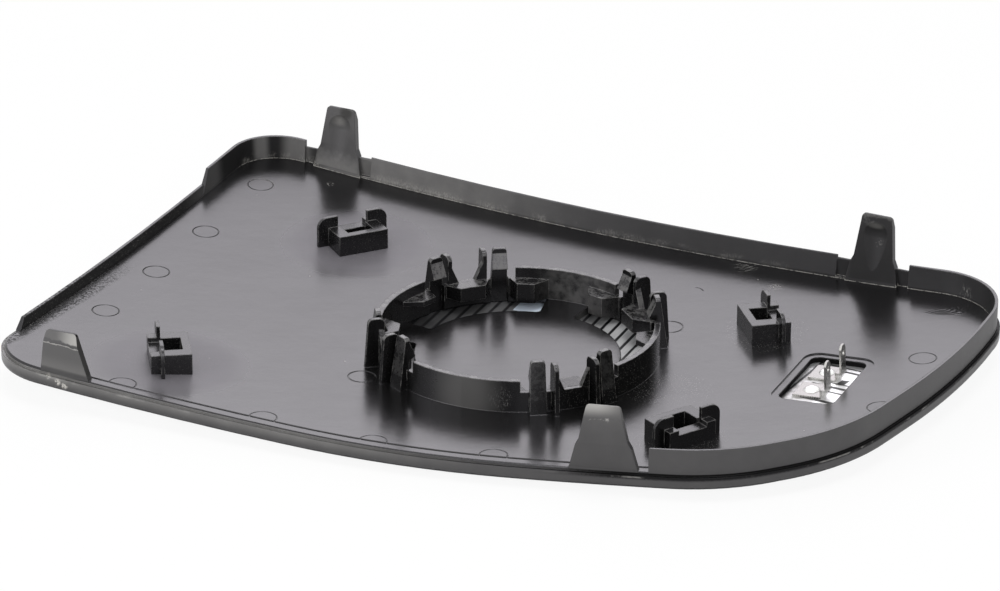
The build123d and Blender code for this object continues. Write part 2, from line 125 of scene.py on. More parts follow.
class Finish(Nodes):
    """A material under construction, with the shader parts that the finishes share."""

    def __init__(self, name):
        self.material = bpy.data.materials.new(name)
        self.material.use_nodes = True
        super().__init__(self.material.node_tree)

    def vector(self, operation, *values, output=0):
        return self.add("ShaderNodeVectorMath", {"operation": operation}, dict(enumerate(values)), output)

    def scaled(self, vector, factor):
        return self.add("ShaderNodeVectorMath", {"operation": "SCALE"}, {0: vector, "Scale": factor})

    def dot(self, one, other):
        return self.vector("DOT_PRODUCT", one, other, output="Value")

    def distance(self, one, other):
        return self.vector("DISTANCE", one, other, output="Value")

    def split(self, vector):
        """The three parts of a vector."""
        x = self.add("ShaderNodeSeparateXYZ", None, {0: vector})
        return x, self.also(x, 1), self.also(x, 2)

    def step(self, value, low, high):
        """A smooth rise from 0 at low to 1 at high. With high below low it rises downwards."""
        sockets = {"Value": value, "From Min": low, "From Max": high}
        return self.add("ShaderNodeMapRange", {"interpolation_type": "SMOOTHSTEP"}, sockets)

    def band(self, value, low, high, soft):
        """1 between low and high, fading to 0 over a soft edge on both sides."""
        return self.step(value, low - soft, low) * self.step(value, high + soft, high)

    def mix(self, share_of_other, one, other):
        """A colour between two colours."""
        return self.add("ShaderNodeMix", {"data_type": "RGBA"}, {0: share_of_other, 6: one, 7: other}, 2)

    def mix_vector(self, share_of_other, one, other):
        return self.add("ShaderNodeMix", {"data_type": "VECTOR"}, {0: share_of_other, 4: one, 5: other}, 1)

    def mix_value(self, share_of_other, one, other):
        return self.add("ShaderNodeMix", {"data_type": "FLOAT"}, {0: share_of_other, 2: one, 3: other})

    def noise(self, place, scale, detail=3.0, roughness=0.5):
        sockets = {"Vector": place, "Scale": scale, "Detail": detail, "Roughness": roughness}
        return self.add("ShaderNodeTexNoise", None, sockets)

    def stretched(self, place, turn, stretch):
        """Coordinates turned about Z and drawn out along one direction, for streaks."""
        sockets = {"Vector": place, "Rotation": (0, 0, turn), "Scale": stretch}
        return self.add("ShaderNodeMapping", {"vector_type": "TEXTURE"}, sockets)

    def specks(self, place, scale, chance, size):
        """Scattered round specks: chance is how many cells hold one, size is relative to a cell."""
        cells = self.add("ShaderNodeTexVoronoi", None, {"Vector": place, "Scale": scale})
        pick = self.split(self.also(cells, "Color"))[0]
        reach = self.step(pick, 1 - chance, 1) * size
        return self.step(cells, reach, reach * 0.4)

    def spot(self, place, centre, reach, soft):
        """1 within a reach of a point, fading to 0 over a soft edge."""
        return self.step(self.distance(place, centre), reach + soft, reach)

    def bump(self, height, strength, distance, normal):
        sockets = {"Height": height, "Strength": strength, "Distance": distance, "Normal": normal}
        return self.add("ShaderNodeBump", None, sockets)

    def bevel(self, radius):
        """The normal of edges rounded by a radius."""
        return self.add("ShaderNodeBevel", {"samples": 6}, {"Radius": radius})

    def place(self):
        """Object coordinates in millimetres."""
        return self.scaled(self.add("ShaderNodeTexCoord", None, None, "Object"), 1 / MM)

    def facet(self):
        """The flat normal of the mesh."""
        return self.add("ShaderNodeNewGeometry", None, None, "True Normal")

    def dished_normal(self, base, radius, side):
        """A normal that is round on the dished faces and base elsewhere, and the share of those faces."""
        centre = (0, 0, radius / MM)
        outwards = self.vector("SUBTRACT", centre, self.place())
        exact = self.scaled(self.vector("NORMALIZE", outwards), side)
        facet = self.facet()
        dished = self.step(self.dot(exact, facet), 0.9990, 0.9997)
        change = self.scaled(self.vector("SUBTRACT", exact, facet), dished)
        return self.vector("NORMALIZE", self.vector("ADD", base, change)), dished

    def shader(self, sockets):
        """A surface with its sockets set or linked."""
        return self.add("ShaderNodeBsdfPrincipled", None, sockets)

    def finish(self, surface):
        """Ends the material with a surface."""
        self.add("ShaderNodeOutputMaterial", None, {"Surface": surface})
        return self.material


def dress(node, material):
    """Puts a material on every slot of a CAD node."""
    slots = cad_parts[node].material_slots
    if not slots:
        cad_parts[node].data.materials.append(material)
    for slot in slots:
        slot.material = material


def length(name, description, default):
    return bpy.props.FloatProperty(
        name=name, description=description, default=default, unit="LENGTH", subtype="DISTANCE", precision=5
    )


def share(name, description, default):
    return bpy.props.FloatProperty(
        name=name, description=description, default=default, min=0, max=1, subtype="FACTOR"
    )


def colour(name, description, default):
    return bpy.props.FloatVectorProperty(
        name=name, description=description, default=default, size=4, min=0, max=1, subtype="COLOR"
    )


class PlasticSettings(bpy.types.PropertyGroup):
    """The black moulding."""

    dish_radius: length("Dish radius", "Radius of the plate's dished back face", 1.1961)
    wall_height: length("Wall height", "Height of the rim wall over the floor", 0.0053)
    black: colour("Black", "Colour of the moulded plastic", (0.0052, 0.0051, 0.0052, 1))
    # The grey and dust colours also paint light: grey for painted sheens and lighter zones, dust for painted
    # highlights and glints.
    grey: colour("Rubbed", "Colour of rubbed, greyed plastic", (0.1, 0.098, 0.096, 1))
    dust: colour("Dust", "Colour of dust specks", (0.42, 0.41, 0.39, 1))
    haze: colour("Haze", "Colour of the dull haze on the floor by the left hooks", (0.41, 0.39, 0.43, 1))
    flash: colour("Flash", "Colour of the pale moulding flash", (0.58, 0.56, 0.52, 1))
    floor_roughness: share("Floor roughness", "Roughness of the polished floor", 0.15)
    clip_roughness: share("Clip roughness", "Roughness of the ring, clips and hooks", 0.2)
    wall_roughness: share("Wall roughness", "Roughness of the rim wall and tabs", 0.36)
    edge_round: length("Edge rounding", "Rounding seen on moulded edges", 0.0003)


class HeaterSettings(bpy.types.PropertyGroup):
    """The heater film."""

    track_pitch: length("Track pitch", "Distance between heater tracks", 0.00265)
    track_gap: length("Track gap", "Width of the bare gaps between the tracks", 0.00075)
    track: colour("Track", "Colour of the foil tracks", (0.68, 0.68, 0.69, 1))
    film: colour("Film", "Colour of the film between the tracks", (0.006, 0.006, 0.007, 1))
    foil: colour("Foil", "Colour of the bare foil in the window", (0.8, 0.8, 0.81, 1))
    dull_foil: colour("Dull foil", "Colour of the foil where it is creased", (0.3, 0.295, 0.29, 1))
    bare_glass: colour("Bare glass", "Colour of glass seen through a cut in the film", (0.72, 0.81, 0.92, 1))


class MetalSettings(bpy.types.PropertyGroup):
    """Terminals, rivets and mirror face."""

    tin: colour("Tin", "Colour of the tin plate", (0.6, 0.59, 0.57, 1))
    stained: colour("Stained tin", "Colour of dull and stained tin plate", (0.26, 0.25, 0.245, 1))
    rivet: colour("Rivet", "Colour of the bright rivet heads", (0.93, 0.93, 0.92, 1))
    silver: colour("Silver", "Colour of the mirror face", (0.86, 0.88, 0.89, 1))
    glass_edge: colour("Glass edge", "Colour of the ground glass edge", (0.16, 0.24, 0.21, 1))
    edge_round: length("Edge rounding", "Rounding seen on stamped edges", 0.00012)


class StageSettings(bpy.types.PropertyGroup):
    """Floor, light and camera."""

    floor: colour("Floor", "Colour of the studio floor", (0.9, 0.9, 0.9, 1))
    floor_reach: length("Floor reach", "Half the width of the studio floor", 3.0)
    floor_white: share("Floor white", "How much of plain white the camera sees on the floor", 0.9)
    fill: share("Fill light", "Strength of the light from all round on matt faces", 0.5)
    lens: bpy.props.FloatProperty(
        name="Lens",
        description="Focal length in millimetres",
        default=180.0,
        unit="CAMERA",
    )
    target: bpy.props.FloatVectorProperty(
        name="Target",
        description="Point that the camera looks at",
        default=(-0.0164, 0.02775, 0.0),
        unit="LENGTH",
        subtype="XYZ",
    )
    direction: bpy.props.FloatVectorProperty(
        name="Direction",
        description="Direction of view",
        default=(-0.3650, 0.8396, -0.4023),
        subtype="DIRECTION",
    )
    distance: length("Distance", "Distance from the camera to its target", 1.1359)
    roll: bpy.props.FloatProperty(
        name="Roll",
        description="Turn of the camera about its view",
        default=math.radians(0.46),
        subtype="ANGLE",
    )


class Moulding(Finish):
    """Black plastic: a polished dished floor, duller walls, dust and scuffs, with painted highlights, sheens
    and painted shade over them. Places are in millimetres.
    """

    # Spots: a place, how far it reaches, how softly it fades, and in some a stretch.
    left_tab_spot = ((-80.5, -62.5, 11.0), 9.0, 2.0)
    right_tab_spot = ((43.0, -51.5, 13.0), 12.0, 2.0)
    right_tab_scuff = ((42.6, -51.5, 14.1), 0.05, 0.6)
    # Painted sheens and painted shade on the back tabs, and a scuff on the back right one.
    back_left_tab_sheen = ((-77.33, 71.5, 16.73), 0.2, 1.8, (0.75, 1, 1.1))
    back_left_tab_shade = ((-75.6, 71.4, 19.0), 0.8, 1.4)
    back_right_tab_sheen = ((60.25, 64.7, 16.6), 0.3, 0.8, (0.4, 1, 1))
    back_right_tab_scuff = ((61.5, 64.2, 12.7), 0.2, 1.3)
    # Painted shade in the back left corner, with two painted sheens on it.
    corner_shade_spot = ((-92.0, 62.0, 0.0), 11.0, 4.0, PLAN)
    corner_left_sheen = ((-95.8, 66.5, 0.0), 0.6, 2.2, PLAN)
    corner_back_sheen = ((-88.0, 70.2, 0.0), 1.5, 3.5, PLAN)
    # Painted shade and dust on the ring's front right walls, and a painted sheen on its front wall.
    ring_shade_and_dust_spot = ((29.0, -12.0, 4.0), 11.0, 8.0)
    ring_shine = ((1.5, -31.0, 3.57), 2.0, 8.0, (1, 1, 0.7))
    ring_smoke = ((3.0, 30.2, 3.0), 5.0, 8.0)
    ring_knot = ((9.0, -30.2, 3.6), 1.6, 1.6)
    ring_grit = ((38.5, -5.0, 0.6), 4.0, 11.0)
    # Posts that take painted shade.
    front_post_spot = ((27.8, -16.3, 9.0), 3.5, 2.0)
    left_post_spot = ((-15.0, -29.2, 5.0), 3.5, 1.5)
    smooth_hook_spot = ((50.0, -28.6, 3.0), 12.0, 1.0)
    floor_scratch = ((30.0, 62.0, 2.0), 1.0, 3.0)
    floor_dots = ((40.3, 54.2, 1.9), 0.5, 2.0)
    tab_dots = ((-75.7, 62.6, 4.1), 0.2, 1.3)
    right_corner_scratch = ((83.7, 60.3, 6.0), 0.5, 2.0)
    scribble_spot = ((24.7, 47.8, 1.2), 1.2, 0.4)

    # Places that share one reach and fade.
    hook_places = ((-56.5, 36.5, 3.0), (-65.0, -41.4, 3.0), (46.5, 31.0, 3.0), (50.0, -28.6, 3.0))
    left_hook_places = hook_places[:2]
    hook_reach = (11.0, 0.5)
    hook_dust_reach = (8.0, 6.0)
    haze_reach = (11.0, 9.0)
    back_tab_places = ((-77.0, 70.5, 0.0), (60.5, 64.0, 0.0))
    back_tab_reach = (5.0, 2.0, PLAN)
    left_tab_scuffs = ((-85.0, -60.5, 3.6), (-82.6, -60.5, 2.6), (-80.9, -60.5, 2.0))
    left_tab_scuff_reach = (0.3, 0.7)

    # Spans across (x), along (y), in plan from the ring's axis or over the floor. One that a step takes
    # runs from where its share is 0 to where it is 1. One that a band takes is where its share is 1.
    ring_reach = (44.0, 40.0)
    rim_reach = (46.0, 50.0)
    leftward_across = (75.0, -55.0)
    left_half_across = (0.0, -50.0)
    right_half_across = (0.0, 40.0)
    rear_along = (40.0, 48.0)
    sharp_foot_height = (-0.02, 0.35)
    left_foot_across = (2.4, 0.4)
    left_foot_along = (5.0, -25.0)
    # The left wall's inside takes painted shade and dust, and the window's side walls take painted shade.
    left_wall_across = (-82.0, -90.0)
    left_wall_along = (48.0, 30.0)
    window_across = (60.0, 75.0)
    window_along = (-2.0, 24.5)
    window_side_height = (-0.45, -0.6)
    matt_wall_height = (-0.4, 0.3)
    # These spans paint the back wall lighter towards the left.
    grey_back_wall_across = (10.0, -50.0)
    bright_back_wall_across = (-5.0, -45.0)
    grey_edge_height = (0.6, 1.2)
    bright_edge_height = (0.8, 1.4)
    ledge_height = (3.0, 3.6)
    left_tab_height = (0.6, 1.4)
    left_tab_foot_height = (5.0, 0.8)
    left_tab_face_height = (8.2, 8.0)
    left_tab_line_height = (8.1, 8.25)
    left_tab_dark_line_height = (8.4, 8.9)
    left_tab_top_height = (8.9, 9.3)
    left_tab_top_across = (-83.0, -77.5)
    right_tab_height = (5.5, 6.5)
    right_tab_flake_height = (11.6, 12.3)
    right_tab_top_height = (12.4, 15.2)
    right_tab_top_across = (47.0, 40.0)
    back_tab_height = (0.5, 1.0)
    grey_tab_foot_height = (9.5, 3.0)
    bright_tab_foot_height = (7.5, 2.0)
    tab_face_height = (7.0, 15.0)
    tab_tip_height = (12.0, 15.0)
    tab_top_height = (15.0, 15.5)
    # The front lip takes painted light; the right lip takes painted shade and a painted glint.
    front_lip_across = (30.0, -30.0)
    front_lip_along = (-35.0, -45.0)
    front_lip_upper_height = (-0.3, -0.5)
    front_lip_lower_height = (-3.0, -0.7)
    front_lip_shine_height = (-1.25, -0.95)
    front_lip_shine_across = (-10.0, -70.0)
    right_lip_across = (25.0, 45.0)
    right_lip_height = (-0.3, -0.45)
    right_lip_black_height = (-2.0, -1.3)
    right_lip_shade_height = (-1.8, -1.2)
    right_lip_glint_height = (-1.3, -1.1)
    flash_along = (52.0, 56.0)
    flash_lower_height = (-0.08, 0.02)
    flash_upper_height = (0.8, 0.35)
    smear_height = (3.2, 1.6)
    low_smear_across = (-66.0, -52.0)
    low_smear_height = (3.2, 1.2)

    # The slanting foot of the left wall, the gate of the melt's flow and the curl of the floor mark.
    left_wall_foot = 96.0
    left_wall_slant = 0.085
    flow_place = (79.5, 54.5, 4.0)
    flow_reach = (2.2, 4.2)
    scribble_centre = (23.6, 45.6, 1.2)
    scribble_radius = (2.3, 2.45)

    def __init__(self, settings):
        super().__init__("black_moulding")
        self.settings = settings
        self.measure()
        self.find_pieces()
        self.find_corners()
        self.make_noises()

    def near(self, centre, reach, soft, stretch=ROUND):
        """1 within a reach of a place on the plate, fading softly. A stretch below 1 draws the spot out."""
        place = self.at if stretch == ROUND else self.vector("MULTIPLY", self.at, stretch)
        return self.spot(place, [part * factor for part, factor in zip(centre, stretch)], reach, soft)

    def near_any(self, centres, reach, soft, stretch=ROUND):
        """The largest of the shares near several places."""
        return self.largest(*[self.near(centre, reach, soft, stretch) for centre in centres])

    def measure(self):
        """Where a point is, and which way its face looks."""
        settings = self.settings
        radius = settings.dish_radius / MM
        self.at = self.place()
        self.x, self.y = self.split(self.at)[:2]
        self.height = radius - self.distance(self.at, (0, 0, radius))
        self.flat = self.facet()
        self.facing, away, up = self.split(self.flat)
        self.inside_back = self.step(away, 0.0, -0.3)
        self.upright = self.step(self.maths("ABSOLUTE", up), 0.5, 0.2)
        self.level = self.step(up, 0.9, 0.97)
        self.sloped = self.band(up, 0.2, 0.8, 0.08)
        self.leftward = self.step(self.x, *self.leftward_across)
        self.rear = self.step(self.y, *self.rear_along)

        outwards = self.vector("MULTIPLY", self.at, PLAN)
        reach = self.vector("LENGTH", outwards, output="Value")
        self.outward = self.dot(self.flat, self.vector("NORMALIZE", outwards))
        self.in_ring = self.step(reach, *self.ring_reach)
        self.hooks = self.near_any(self.hook_places, *self.hook_reach)
        self.haze = self.near_any(self.left_hook_places, *self.haze_reach)
        self.rim = self.step(reach, *self.rim_reach) * (1 - self.hooks)

        rounded = self.bevel(settings.edge_round)
        self.turned = self.dot(rounded, self.flat)
        self.edge = self.step(self.turned, 0.97, 0.84)
        sharp_foot = self.band(self.height, *self.sharp_foot_height, 0.05) * (1 - self.in_ring)
        softened = self.mix_vector(sharp_foot, rounded, self.flat)
        self.smooth, self.floor = self.dished_normal(softened, settings.dish_radius, 1)
        self.wall = 1 - self.floor

    def find_pieces(self):
        """Shares of the left wall, the tabs, the ring's front right, the posts and the window; painted shade
        darkens parts of them.
        """
        from_left_wall = self.x + self.left_wall_foot - self.y * self.left_wall_slant
        self.left_foot = self.step(from_left_wall, *self.left_foot_across) * self.floor
        self.left_foot = self.left_foot * self.step(self.y, *self.left_foot_along)
        self.left_inside = self.step(self.x, *self.left_wall_across) * self.step(self.facing, 0.3, 0.6)
        self.left_inside = self.left_inside * self.step(self.y, *self.left_wall_along) * self.rim
        self.left_tab = self.near(*self.left_tab_spot) * self.step(self.height, *self.left_tab_height)
        self.tab_side = self.left_tab * self.step(self.facing, 0.5, 0.8)
        self.right_tab = self.near(*self.right_tab_spot) * self.step(self.height, *self.right_tab_height)
        self.back_tabs = self.near_any(self.back_tab_places, *self.back_tab_reach)
        self.back_tabs = self.back_tabs * self.step(self.height, *self.back_tab_height) * self.inside_back
        ring_side = self.in_ring * self.upright * self.step(self.outward, 0.4, 0.7)
        self.ring_side = ring_side * self.near(*self.ring_shade_and_dust_spot)
        self.front_post = self.near(*self.front_post_spot) * self.upright
        self.left_post = self.near(*self.left_post_spot) * self.upright * self.in_ring
        self.window = self.band(self.x, *self.window_across, 0.5) * self.band(self.y, *self.window_along, 0.5)
        self.window_side = self.window * self.step(self.height, *self.window_side_height)
        self.right_lip = self.rim * self.step(self.x, *self.right_lip_across) * (1 - self.window)
        self.right_lip = self.right_lip * self.step(self.height, *self.right_lip_height)

    def find_corners(self):
        """Shares of the painted shade in the back left corner of the wall and of the two painted sheens on
        it.
        """
        left_sheen = self.near(*self.corner_left_sheen)
        back_sheen = self.near(*self.corner_back_sheen)
        sheen = self.largest(left_sheen, back_sheen)
        corner = self.near(*self.corner_shade_spot) * self.upright
        self.corner_shade = corner * (1 - sheen)
        self.corner_sheen = sheen * self.upright

    def make_noises(self):
        """Noise at several sizes, from broad clouds to fine grain."""
        self.cloud = self.noise(self.at, 0.045, 5.0, 0.6)
        self.blotch = self.noise(self.at, 0.16, 4.0, 0.55)
        self.ripple = self.noise(self.at, 0.55, 3.0, 0.55)
        self.grain = self.noise(self.at, 1.7, 4.0, 0.65)
        self.fine = self.noise(self.at, 3.4, 2.0, 0.6)
        self.streak = self.noise(self.stretched(self.at, 0.5, (38, 1.6, 1)), 1.0, 3.0)
        self.ragged = self.height + self.ripple * 1.3 + self.grain * 0.3
        self.scratches = self.scratch_knot()

    def scratch_knot(self):
        """A knot of scratches on the ring's front wall."""
        lines = self.noise(self.stretched(self.at, 0.9, (0.5, 0.5, 1.3)), 2.2, 4.0, 0.7)
        return self.near(*self.ring_knot) * self.step(lines, 0.56, 0.6)

    def grey_wear_and_painted_light(self):
        """Share of grey: partly rubbed plastic, partly painted sheens, highlights and lighter zones that
        stand in for light.
        """
        total = self.largest(
            self.grey_left_tab(), self.grey_clips(), self.grey_ring(), self.grey_walls(), self.grey_tabs()
        )
        return self.maths("MINIMUM", total, 1)

    def grey_left_tab(self):
        """The outer face of the front left tab, grey partly as wear and partly as painted light, with a
        painted dark line under its top.
        """
        off_dark_line = 1 - self.band(self.ragged, *self.left_tab_dark_line_height, 0.1)
        return self.left_tab * self.step(self.outward, 0.2, 0.5) * 0.68 * off_dark_line

    def grey_clips(self):
        """Grey on moulded edges, clip ledge tops and clip noses, partly wear and partly painted highlights.
        """
        rubbed = self.edge * self.step(self.ripple, 0.36, 0.62) * (0.4 + self.in_ring * 0.6)
        rubbed = rubbed * self.step(self.height, *self.grey_edge_height)
        over_ledge = self.in_ring * self.step(self.height, *self.ledge_height)
        ledges = self.level * over_ledge * self.step(self.ripple + self.grain * 0.6, 0.74, 0.95) * 0.8
        noses = self.sloped * over_ledge * self.step(self.ripple + self.grain, 0.8, 1.15)
        return self.largest(rubbed, ledges, noses)

    def grey_ring(self):
        """A painted sheen on the ring's front wall, a smoky grey patch on its back wall, and scratches."""
        shine = self.near(*self.ring_shine)
        smoke = self.near(*self.ring_smoke) * self.step(self.ripple, 0.2, 0.7)
        return self.upright * self.in_ring * (shine * 0.85 + smoke * 0.8 + self.scratches * 1.6)

    def cut_for_back_right_shade(self):
        """Less grey on the right part of the back wall, which stays black as painted shade."""
        return 1 - self.rear * 0.85 * (1 - self.leftward)

    def grey_walls(self):
        """Grey haze on the rim walls, partly their matt finish and partly painted light; more along the left
        part of the back wall, which is painted lighter, and painted sheens on the corner.
        """
        hazy = self.upright * self.rim * (0.3 + self.blotch * 0.3) * self.cut_for_back_right_shade()
        hazy = hazy * (1 - self.left_inside) * (1 - self.window) * (1 - self.corner_shade * 0.9)
        # The right lip's upper part takes no haze and stays black, as painted shade.
        hazy = hazy * (1 - self.right_lip * self.step(self.height, *self.right_lip_black_height))
        back = self.upright * self.rim * self.rear * (0.45 + self.blotch * 0.8)
        back = back * self.step(self.x, *self.grey_back_wall_across)
        back = back * self.inside_back * (1 - self.corner_shade) * (1 - self.back_tabs * 0.6)
        return self.largest(hazy, back, self.corner_sheen * 0.9)

    def grey_tabs(self):
        """The faces of the tabs, grey in blotches and painted lighter towards the top, painted highlights on
        their tips, and the back left one lighter towards its foot.
        """
        over_wall = self.settings.wall_height / MM
        faces = 0.3 + self.blotch * 0.4 + self.step(self.height, *self.tab_face_height) * 0.2
        faces = faces * self.upright * self.rim * self.step(self.height, over_wall, over_wall + 1)
        faces = faces * self.cut_for_back_right_shade() * (1 - self.tab_side)
        tips = self.step(self.height, *self.tab_tip_height) * self.rim
        tips = tips * self.step(self.blotch + self.grain * 0.5, 0.62, 0.88) * 0.8
        foot = self.back_tabs * self.step(self.x, *self.left_half_across)
        foot = foot * self.step(self.height + self.ripple * 3, *self.grey_tab_foot_height)
        return self.largest(faces, tips, foot)

    def bright_wear_and_painted_light(self):
        """Share of bright colour: a little wear, and mostly painted highlights, sheens and glints."""
        return self.largest(
            self.bright_left_tab(), self.bright_right_tab(), self.bright_back_tabs(), self.bright_lip(),
            self.bright_back_wall(), self.bright_edges()
        )

    def bright_left_tab(self):
        """Painted highlights on the top of the front left tab, lighter towards the right, and a ragged
        painted highlight line under it; its face is lighter towards the foot.
        """
        outside = self.step(self.outward, 0.2, 0.5) * self.left_tab
        top = 0.05 + self.step(self.x, *self.left_tab_top_across) * 0.75
        top = top * self.step(self.ragged, *self.left_tab_top_height)
        line = self.band(self.ragged, *self.left_tab_line_height, 0.1) * 0.6
        face = 0.02 + self.step(self.height, *self.left_tab_foot_height) * 0.12
        face = face * self.step(self.ragged, *self.left_tab_face_height)
        return outside * self.largest(top, line, face)

    def bright_right_tab(self):
        """A painted highlight on the top of the front right tab, lighter towards the left, flakes under it
        and one scuff.
        """
        top = self.right_tab * self.step(self.height, *self.right_tab_top_height)
        top = top * self.step(self.x, *self.right_tab_top_across) * 0.75
        flakes = self.step(self.noise(self.at, 1.6, 5.0, 0.7), 0.6, 0.64)
        flakes = self.right_tab * flakes * self.band(self.height, *self.right_tab_flake_height, 0.2) * 0.5
        scuff = self.near(*self.right_tab_scuff) * self.step(self.fine, 0.4, 0.55) * 0.8
        return self.largest(top, flakes, scuff)

    def bright_back_tabs(self):
        """Painted sheens, a scuff, a lighter foot on the left one and painted highlights on the tops of the
        two back tabs.
        """
        left_sheen = self.near(*self.back_left_tab_sheen)
        left_sheen = left_sheen * (0.1 + self.ripple * 0.4)
        foot = self.back_tabs * self.step(self.x, *self.left_half_across) * (self.grain * 0.2 + 0.02)
        foot = foot * self.step(self.height + self.ripple * 3, *self.bright_tab_foot_height)
        right_sheen = self.near(*self.back_right_tab_sheen) * 0.2
        scuff = self.near(*self.back_right_tab_scuff) * self.step(self.grain, 0.52, 0.62) * 0.25
        tops = self.back_tabs * self.step(self.height, *self.tab_top_height) * self.ripple * 0.3
        return self.largest(left_sheen, foot, right_sheen, scuff, tops)

    def bright_lip(self):
        """Painted light on the lips: the front lip painted lighter towards its top with a painted highlight
        along it, and a broken painted glint on the right lip.
        """
        front = self.rim * self.step(self.x, *self.front_lip_across)
        front = front * self.step(self.y, *self.front_lip_along)
        lip = front * self.step(self.height, *self.front_lip_upper_height) * (0.16 + self.blotch * 0.16)
        lip = lip * self.step(self.height, *self.front_lip_lower_height)
        shine = front * self.band(self.height, *self.front_lip_shine_height, 0.25)
        shine = shine * self.step(self.x, *self.front_lip_shine_across)
        shine = shine * self.step(self.blotch, 0.3, 0.7) * 0.5
        glint = self.right_lip * self.band(self.height, *self.right_lip_glint_height, 0.15)
        glint = glint * self.step(self.blotch, 0.5, 0.62) * 0.4
        return self.largest(lip, shine, glint)

    def bright_back_wall(self):
        """Painted light: the left part of the back wall painted lighter."""
        back = self.upright * self.rim * self.rear * self.inside_back
        back = back * self.step(self.x, *self.bright_back_wall_across)
        return back * (1 - self.corner_shade) * (1 - self.back_tabs) * (0.03 + self.blotch * 0.14)

    def bright_edges(self):
        """Painted highlights along the thin edges of the clips and hooks."""
        hook_edges = self.step(self.turned, 0.995, 0.93) * self.hooks * 0.8
        edges = self.largest(self.edge * self.in_ring, hook_edges)
        edges = edges * self.step(self.height, *self.bright_edge_height)
        return edges * self.step(self.ripple, 0.36, 0.6) * 0.4

    def pale_marks(self):
        """Share of pale moulding flash at the back wall's foot, smears on that wall and tab scuffs."""
        foot = self.step(self.turned, 0.995, 0.95) * self.step(self.height, *self.flash_lower_height)
        foot = foot * self.step(self.height, *self.flash_upper_height)
        back = self.step(self.y, *self.flash_along) * self.rim * self.inside_back
        flakes = self.step(self.noise(self.at, 1.1, 5.0, 0.75), 0.4, 0.52)
        flakes = flakes * self.step(self.blotch, 0.24, 0.38)
        speckle = self.noise(self.stretched(self.at, 0.0, (0.8, 0.8, 1.6)), 2.2, 5.0, 0.7)
        low = self.step(self.height + self.grain * 2.2, *self.smear_height)
        smear = self.upright * back * self.leftward * low
        smear = smear * self.step(self.blotch, 0.44, 0.62) * self.step(speckle, 0.4, 0.62) * 0.34
        along = self.band(self.x, *self.low_smear_across, 3) * back * self.upright
        along = along * self.step(self.height + self.grain * 1.5, *self.low_smear_height)
        along = along * self.step(speckle, 0.3, 0.7) * 0.3
        scuffs = self.near_any(self.left_tab_scuffs, *self.left_tab_scuff_reach) * 0.85
        scuffs = scuffs * self.step(self.noise(self.at, 1.2, 4.0, 0.65), 0.42, 0.5)
        return self.largest(foot * back * flakes, smear, along, scuffs)

    def dust(self):
        """Share of dust: sparse specks on the floor, denser grit by the walls, the ring and the hooks."""
        specks = self.specks(self.at, 0.34, 0.1, 0.11) * self.floor * 0.55
        grit = self.step(self.fine, 0.6, 0.7)
        by_hooks = self.near_any(self.hook_places, *self.hook_dust_reach) * 0.8
        beside = self.largest(self.near(*self.ring_grit), by_hooks)
        on_floor = self.largest(beside * 0.4, self.left_foot * 0.45) * self.floor
        on_hooks = self.hooks * self.upright * (1 - self.near(*self.smooth_hook_spot)) * 0.1
        on_ring = self.ring_side * (1 - self.front_post) * 0.26
        on_walls = self.largest(on_ring, self.left_inside * 0.3, on_hooks)
        return self.largest(specks, self.nicks(), grit * self.largest(on_floor, on_walls))

    def nicks(self):
        """Share of small light scratches on the floor near the back wall and on the right corner."""
        thin = self.noise(self.stretched(self.at, 0.7, (3.0, 0.35, 1.0)), 1.6, 3.0, 0.6)
        lines = self.near(*self.floor_scratch) * self.step(thin, 0.54, 0.6) * 0.4
        dots = self.near(*self.floor_dots) * self.step(self.fine, 0.5, 0.6) * 0.5
        tab_dots = self.near(*self.tab_dots) * self.step(self.grain, 0.5, 0.6) * 0.5
        upward = self.noise(self.stretched(self.at, 0.0, (0.35, 0.35, 3.0)), 1.6, 3.0, 0.6)
        corner = self.near(*self.right_corner_scratch) * self.step(upward, 0.54, 0.6) * 0.35
        return self.largest(self.largest(lines, dots, tab_dots) * self.floor, corner * self.wall)

    def scribble(self):
        """A short curved pen-like mark on the floor."""
        curl = self.band(self.distance(self.at, self.scribble_centre), *self.scribble_radius, 0.12)
        return curl * self.near(*self.scribble_spot) * self.floor

    def swirl(self):
        """Flow lines of the melt near the far right corner."""
        from_gate = self.vector("SUBTRACT", self.at, self.flow_place)
        reach = self.vector("LENGTH", self.vector("MULTIPLY", from_gate, (0.8, 1.5, 1)), output="Value")
        wavy = self.maths("SINE", (reach + self.noise(self.at, 0.3, 3.0) * 2.4) * 6.0)
        along, across = self.split(from_gate)[:2]
        right_side = self.step(along - across * 1.4, 0.5, 3.5)
        return wavy * self.band(reach, *self.flow_reach, 1.6) * right_side * self.floor

    def relief(self):
        """The normal: grain, gentle waves, flow lines and scratches on the rounded shape."""
        walls = self.grain * (self.wall * (0.1 + self.rim * 0.4) + 0.02) + self.scratches * 1.2
        walls = walls + self.ripple * self.wall * (1 - self.rim) * 0.5
        waves = self.noise(self.at, 0.09, 3.0) * self.upright * 3.0 + self.cloud * self.floor * 7.0
        total = walls + waves + self.fine * 0.05 + self.streak * self.floor * 0.08 + self.swirl() * 3.0
        return self.bump(total, 0.22, 0.08 * MM, self.smooth)

    def dullness(self, greyed, light, pale):
        """The roughness."""
        settings = self.settings
        grit = self.left_foot * self.step(self.grain, 0.46, 0.56) * 0.6
        gloss = settings.floor_roughness + self.cloud * 0.09 + self.streak * 0.05 + grit
        gloss = gloss + self.scribble() * 0.5 + self.haze * 0.275
        walls = self.rim * self.step(self.height, *self.matt_wall_height)
        matt = settings.clip_roughness + walls * (settings.wall_roughness - settings.clip_roughness)
        matt = matt + self.grain * 0.12 + greyed * 0.12
        return self.mix_value(self.floor, matt, gloss) + light * 0.25 + pale * 0.4

